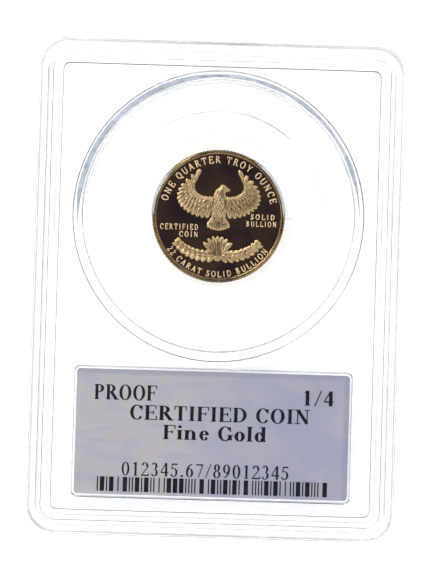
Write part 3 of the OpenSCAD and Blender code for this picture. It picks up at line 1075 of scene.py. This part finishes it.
def printed_card():
    """Coated card: warm grey at the left and lilac at the right, with ghosted blocks and fine lines."""
    n = Finish("card_print")
    place = n.place()
    apart = n.make("SeparateXYZ", Vector=place)
    across, up = apart.outputs["X"], apart.outputs["Y"]
    clouds = n.noise(95.0, 3.0, 0.55, place)
    drift = n.plus(n.ramp(across, -0.012, 0.012), n.ramp(clouds, 0.3, 0.7, -0.35, 0.35))
    base = n.mix(drift, (0.510, 0.499, 0.520), (0.390, 0.403, 0.520))
    blotch = n.ramp(n.noise(210.0, 3.0, 0.6, place), 0.50, 0.66, 0.0, 0.55)
    warm = n.mix(blotch, base, (0.530, 0.470, 0.502))
    ghost = n.ramp(n.noise(1.0, 2.0, 0.4, n.place((170, 520, 1))), 0.52, 0.60, 0.0, 0.45)
    left_part = n.ramp(across, 0.006, -0.002)
    cool = n.mix(n.times(ghost, left_part), warm, (0.404, 0.404, 0.536))
    waves = n.make("TexWave", Vector=place, Scale=1100.0, Distortion=9.0, Detail_Scale=0.02)
    ruled = n.mix(n.ramp(waves.outputs["Fac"], 0.6, 1.0, 0.0, 0.08), cool, (0.358, 0.372, 0.505))
    # A painted shadow of the pocket's wall, darker along the card's top and right edges
    top, right = (card_at.y + CARD_SIZE.y / 2) * MM, (card_at.x + CARD_SIZE.x / 2) * MM
    painted_wall_shadow = n.math("MAXIMUM", n.ramp(up, top - 0.0010, top - 0.0006, 0.0, 0.45),
                    n.ramp(across, right - 0.0011, right - 0.0007, 0.0, 0.4))
    with_painted_shadow = n.mix(painted_wall_shadow, ruled, (0.262, 0.275, 0.346))
    fibre = n.noise(5200.0, 3.0, 0.6, place)
    colour = n.mix(n.ramp(fibre, 0.35, 0.7, 0.0, 0.08), with_painted_shadow, (0.664, 0.651, 0.690))
    return n.done(Base_Color=colour, Roughness=n.ramp(fibre, 0.3, 0.7, 0.42, 0.6),
                  Specular_IOR_Level=0.35, Normal=n.bump(fibre, 0.000012, 0.5))


def printing_ink():
    n = Finish("printing_ink")
    grain = n.noise(6500.0, 3.0, 0.6)
    colour = n.mix(n.ramp(grain, 0.35, 0.75), (0.007, 0.007, 0.010), (0.018, 0.017, 0.023))
    return n.done(Base_Color=colour, Roughness=n.ramp(grain, 0.3, 0.7, 0.45, 0.65),
                  Specular_IOR_Level=0.12, Normal=n.bump(grain, 0.000006, 0.5))


def security_foil():
    """Embossed foil whose colour turns with the viewing angle, in a plain pattern of rings and dots."""
    n = Finish("security_foil")
    place = n.place()
    from_middle = n.vector("SUBTRACT", place, middle("hologram_foil") * MM)[0]
    spheres = {"wave_type": "RINGS", "rings_direction": "SPHERICAL"}
    rings = n.make("TexWave", spheres, Vector=from_middle, Scale=420.0).outputs["Fac"]
    dots = n.make("TexVoronoi", Vector=place, Scale=900.0, Randomness=0.0).outputs["Distance"]
    facing = n.make("LayerWeight", Blend=0.4).outputs["Facing"]
    phase = n.plus(n.times(rings, 0.35), facing)
    hue = n.math("FRACT", n.plus(phase, n.times(dots, 0.6)))
    rainbow = n.make("CombineColor", Red=hue, Green=0.38, Blue=0.85)
    rainbow.mode = "HSV"
    height = n.plus(rings, n.times(dots, 0.5))
    return n.done(Base_Color=rainbow.outputs[0], Metallic=1.0,
                  Roughness=n.ramp(dots, 0.0, 0.6, 0.16, 0.3), Normal=n.bump(height, 0.00002, 0.5))


def studio_white():
    n = Finish("studio_white")
    soft = n.noise(6.0, 2.0)
    colour = n.mix(n.ramp(soft, 0.3, 0.7), (0.93, 0.93, 0.93), (0.95, 0.95, 0.95))
    return n.done(Base_Color=colour, Roughness=0.9, Specular_IOR_Level=0.1, Emission_Color=(1, 1, 1),
                  Emission_Strength=FLOOR_GLOW)


# ---- object ----

def keep_cad(node, material):
    """A CAD node that stays as it is and takes a better material."""
    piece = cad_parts[node]
    piece.data.materials.clear()
    piece.data.materials.append(material)


def own_piece(piece, slot, *replaced):
    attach(piece, "root")
    if replaced:
        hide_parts(*replaced)


clear = shell_plastic()
keep_cad("front_shell", clear)
keep_cad("rear_shell", clear)
keep_cad("coin_ring", ring_plastic())
keep_cad("hologram_foil", security_foil())

# A blue-grey film painted in as the round wall's shadow, broadest at the upper left
cloudy = painted_shade_film("cloudy_weld", (0.345, 0.378, 0.44), (0.535, 0.575, 0.635))
# A grey film painted in as the shade line along the round wall's inner edge
grey = painted_shade_film("grey_weld", (0.62, 0.635, 0.66), (0.74, 0.75, 0.765))
# A pale film in the outer seam: melted plastic, with its grey partly painted shade
pale = painted_shade_film("pale_weld_and_shade", (0.83, 0.84, 0.86), (0.92, 0.925, 0.935))
# A grey film painted in as the shade line round the insert's pocket
dull = painted_shade_film("dull_edge", (0.54, 0.56, 0.60), (0.68, 0.69, 0.72))
for film in (round_film("weld_bead", SHADOW_BAND_RADIUS, shadow_band_width, cloudy),
             round_film("inner_bead", INNER_SHADE_LINE_RADIUS, inner_bead_width, grey),
             seam_flash_and_shade(pale), painted_pocket_shade(dull)):
    own_piece(film, "clear_shell")

own_piece(struck_coin(struck_gold()), "gold", "coin")
own_piece(insert_card(printed_card()), "card", "label_card")
ink = printing_ink()
for row in PRINT_LINES:
    own_piece(printed_line(*row, ink), "card")
own_piece(bar_marks(ink), "card")


# ---- studio ----

# The camera's distance, the height of its view, how it is turned and the point that it looks at
VIEW_DISTANCE = 300.0
VIEW_HEIGHT = 95.13
VIEW_TILT = math.radians(1.22)
VIEW_YAW = math.radians(-0.36)
VIEW_ROLL = math.radians(1.72)
AIM = (0.61, 0.21, 4.2)
# The middle of the tent's dark opening, and how far from it the dark ends and the white begins
DARK_DIRECTION = Vector((0.0, 0.09, 1.0)).normalized()
DARK_ANGLES = (20, 36)
TENT_STRENGTH = 1.3
SOFTBOX_AT = (-300, 400, 700)
SOFTBOX_SIZE = 360
SOFTBOX_WATTS = 2.2
FLOOR_GLOW = 0.45
FLOOR_HALF = 1500
FLOOR_Z = -0.02


def floor():
    corners = [(x * FLOOR_HALF, y * FLOOR_HALF, FLOOR_Z) for x, y in ((-1, -1), (1, -1), (1, 1), (-1, 1))]
    new_piece("floor", corners, [(0, 1, 2, 3)], studio_white(), smooth=False)


def surroundings():
    """An even white tent with a dark opening overhead, where the camera stands, and cooler sides."""
    world = bpy.data.worlds.new("tent")
    world.use_nodes = True
    scene.world = world
    n = Nodes(world.node_tree)
    way = n.make("TexCoord").outputs["Generated"]
    overhead = n.vector("DOT_PRODUCT", way, DARK_DIRECTION)["Value"]
    dark, white = (math.cos(math.radians(angle)) for angle in DARK_ANGLES)
    clouds = n.ramp(n.noise(75.0, 4.0, 0.6, way), 0.35, 0.65)
    dim = n.mix(clouds, (0.020, 0.018, 0.046), (0.056, 0.046, 0.048))
    height = n.make("SeparateXYZ", Vector=way).outputs["Z"]
    tent = n.mix(n.ramp(height, 0.14, 0.56), (0.16, 0.175, 0.21), (1, 1, 1))
    colour = n.mix(n.ramp(overhead, white, dark), tent, dim)
    background = n.make("Background", Color=colour, Strength=TENT_STRENGTH)
    n.make("OutputWorld", Surface=background.outputs[0])


def softbox():
    """A square lamp at the upper left, turned towards the slab."""
    data = bpy.data.lights.new("key_softbox", "AREA")
    data.shape = "RECTANGLE"
    data.size = data.size_y = SOFTBOX_SIZE * MM
    data.energy = SOFTBOX_WATTS
    lamp = new_object("key_softbox", data)
    lamp.location = [value * MM for value in SOFTBOX_AT]
    lamp.rotation_euler = (-lamp.location).to_track_quat("-Z", "Y").to_euler()


def camera():
    data = bpy.data.cameras.new("camera")
    data.lens = data.sensor_width * VIEW_DISTANCE / VIEW_HEIGHT
    data.clip_start = 0.01
    eye = new_object("camera", data)
    turn = Euler((VIEW_TILT, VIEW_YAW, 0)).to_matrix() @ Matrix.Rotation(VIEW_ROLL, 3, "Z")
    aim = Vector(AIM) * MM
    eye.matrix_world = Matrix.Translation(aim + turn @ Vector((0, 0, VIEW_DISTANCE * MM))) @ turn.to_4x4()
    scene.camera = eye


floor()
surroundings()
softbox()
camera()
scene.view_settings.view_transform = "Standard"
scene.cycles.max_bounces = 32
scene.cycles.transmission_bounces = 28
scene.cycles.glossy_bounces = 8
scene.cycles.blur_glossy = 0.0
